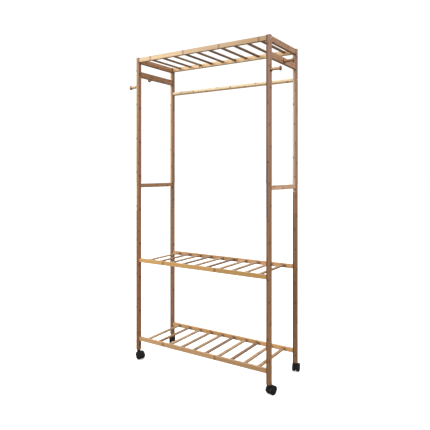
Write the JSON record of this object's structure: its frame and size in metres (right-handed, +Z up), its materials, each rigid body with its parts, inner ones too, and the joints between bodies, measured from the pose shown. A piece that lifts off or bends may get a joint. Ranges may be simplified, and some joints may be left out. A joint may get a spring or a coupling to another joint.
{
  "type": "rolling clothes rack",
  "caption": "Rolling bamboo clothes rack: slatted shelves at bottom, middle and top, a round hanging rod, side pegs, and swivel casters under square posts.",
  "frame": {"origin": "on the floor, below the middle of the four posts", "axes": "+Z up, -Y to the front, where the posts carry the pegs, +X to the right seen from the front"},
  "size_m": [0.92, 0.3648, 1.65],
  "materials": {
    "post_bamboo": "carbonised bamboo, satin lacquer",
    "shelf_rail_bamboo": "bamboo, satin lacquer",
    "side_rail_bamboo": "carbonised bamboo, satin lacquer",
    "slat_bamboo": "bamboo, satin lacquer",
    "rod_bamboo": "turned bamboo, satin lacquer",
    "peg_bamboo": "turned bamboo, satin lacquer",
    "dowel_wood": "raw beech",
    "zinc_steel": "bright zinc plated",
    "socket_brass": "machined",
    "caster_steel": "zinc plated",
    "caster_nylon": "moulded black nylon",
    "wheel_nylon": "moulded black nylon, slightly glossy"
  },
  "bodies": {
    "frame": {"back_left_caster_stem": "caster_steel", "back_left_lower_post": "post_bamboo", "back_left_upper_post": "post_bamboo", "back_right_caster_stem": "caster_steel", "back_right_lower_post": "post_bamboo", "back_right_upper_post": "post_bamboo", "barrel_nuts": "zinc_steel", "bottom_shelf_back_rail": "shelf_rail_bamboo", "bottom_shelf_front_rail": "shelf_rail_bamboo", "bottom_shelf_slats": "slat_bamboo", "caster_sockets": "socket_brass", "connector_bolts": "zinc_steel", "front_left_caster_stem": "caster_steel", "front_left_lower_post": "post_bamboo", "front_left_post_peg": "peg_bamboo", "front_left_upper_post": "post_bamboo", "front_right_caster_stem": "caster_steel", "front_right_lower_post": "post_bamboo", "front_right_post_peg": "peg_bamboo", "front_right_upper_post": "post_bamboo", "hanging_rod": "rod_bamboo", "left_middle_side_rail": "side_rail_bamboo", "left_side_rail_peg": "peg_bamboo", "left_top_side_rail": "side_rail_bamboo", "left_upper_side_rail": "side_rail_bamboo", "middle_shelf_back_rail": "shelf_rail_bamboo", "middle_shelf_front_rail": "shelf_rail_bamboo", "middle_shelf_slats": "slat_bamboo", "peg_screws": "zinc_steel", "post_studs": "zinc_steel", "right_middle_side_rail": "side_rail_bamboo", "right_side_rail_peg": "peg_bamboo", "right_top_side_rail": "side_rail_bamboo", "right_upper_side_rail": "side_rail_bamboo", "side_rail_dowels": "dowel_wood", "top_shelf_back_rail": "shelf_rail_bamboo", "top_shelf_front_rail": "shelf_rail_bamboo", "top_shelf_slats": "slat_bamboo"},
    "front_left_swivel": {"front_left_caster_housing": "caster_nylon", "front_left_caster_axle": "caster_steel"},
    "front_left_left_wheel": {"front_left_caster_left_wheel": "wheel_nylon"},
    "front_left_right_wheel": {"front_left_caster_right_wheel": "wheel_nylon"},
    "back_left_swivel": {"back_left_caster_housing": "caster_nylon", "back_left_caster_axle": "caster_steel"},
    "back_left_left_wheel": {"back_left_caster_left_wheel": "wheel_nylon"},
    "back_left_right_wheel": {"back_left_caster_right_wheel": "wheel_nylon"},
    "front_right_swivel": {"front_right_caster_housing": "caster_nylon", "front_right_caster_axle": "caster_steel"},
    "front_right_left_wheel": {"front_right_caster_left_wheel": "wheel_nylon"},
    "front_right_right_wheel": {"front_right_caster_right_wheel": "wheel_nylon"},
    "back_right_swivel": {"back_right_caster_housing": "caster_nylon", "back_right_caster_axle": "caster_steel"},
    "back_right_left_wheel": {"back_right_caster_left_wheel": "wheel_nylon"},
    "back_right_right_wheel": {"back_right_caster_right_wheel": "wheel_nylon"}
  },
  "joints": [
    {"name": "front_left_caster_swivel", "type": "hinge", "parent": "frame", "child": "front_left_swivel", "pos_m": [-0.398, -0.149, 0.042], "axis": [0, 0, 1], "continuous": true},
    {"name": "front_left_left_wheel_spin", "type": "hinge", "parent": "front_left_swivel", "child": "front_left_left_wheel", "pos_m": [-0.38255, -0.15314, 0.02], "axis": [-0.2588, -0.9659, 0], "continuous": true},
    {"name": "front_left_right_wheel_spin", "type": "hinge", "parent": "front_left_swivel", "child": "front_left_right_wheel", "pos_m": [-0.38255, -0.15314, 0.02], "axis": [-0.2588, -0.9659, 0], "continuous": true},
    {"name": "back_left_caster_swivel", "type": "hinge", "parent": "frame", "child": "back_left_swivel", "pos_m": [-0.398, 0.149, 0.042], "axis": [0, 0, 1], "continuous": true},
    {"name": "back_left_left_wheel_spin", "type": "hinge", "parent": "back_left_swivel", "child": "back_left_left_wheel", "pos_m": [-0.38882, 0.13589, 0.02], "axis": [-0.8192, -0.5736, 0], "continuous": true},
    {"name": "back_left_right_wheel_spin", "type": "hinge", "parent": "back_left_swivel", "child": "back_left_right_wheel", "pos_m": [-0.38882, 0.13589, 0.02], "axis": [-0.8192, -0.5736, 0], "continuous": true},
    {"name": "front_right_caster_swivel", "type": "hinge", "parent": "frame", "child": "front_right_swivel", "pos_m": [0.398, -0.149, 0.042], "axis": [0, 0, 1], "continuous": true},
    {"name": "front_right_left_wheel_spin", "type": "hinge", "parent": "front_right_swivel", "child": "front_right_left_wheel", "pos_m": [0.4016, -0.13341, 0.02], "axis": [0.9744, -0.225, 0], "continuous": true},
    {"name": "front_right_right_wheel_spin", "type": "hinge", "parent": "front_right_swivel", "child": "front_right_right_wheel", "pos_m": [0.4016, -0.13341, 0.02], "axis": [0.9744, -0.225, 0], "continuous": true},
    {"name": "back_right_caster_swivel", "type": "hinge", "parent": "frame", "child": "back_right_swivel", "pos_m": [0.398, 0.149, 0.042], "axis": [0, 0, 1], "continuous": true},
    {"name": "back_right_left_wheel_spin", "type": "hinge", "parent": "back_right_swivel", "child": "back_right_left_wheel", "pos_m": [0.3955, 0.1648, 0.02], "axis": [0.9877, 0.1564, 0], "continuous": true},
    {"name": "back_right_right_wheel_spin", "type": "hinge", "parent": "back_right_swivel", "child": "back_right_right_wheel", "pos_m": [0.3955, 0.1648, 0.02], "axis": [0.9877, 0.1564, 0], "continuous": true}
  ]
}
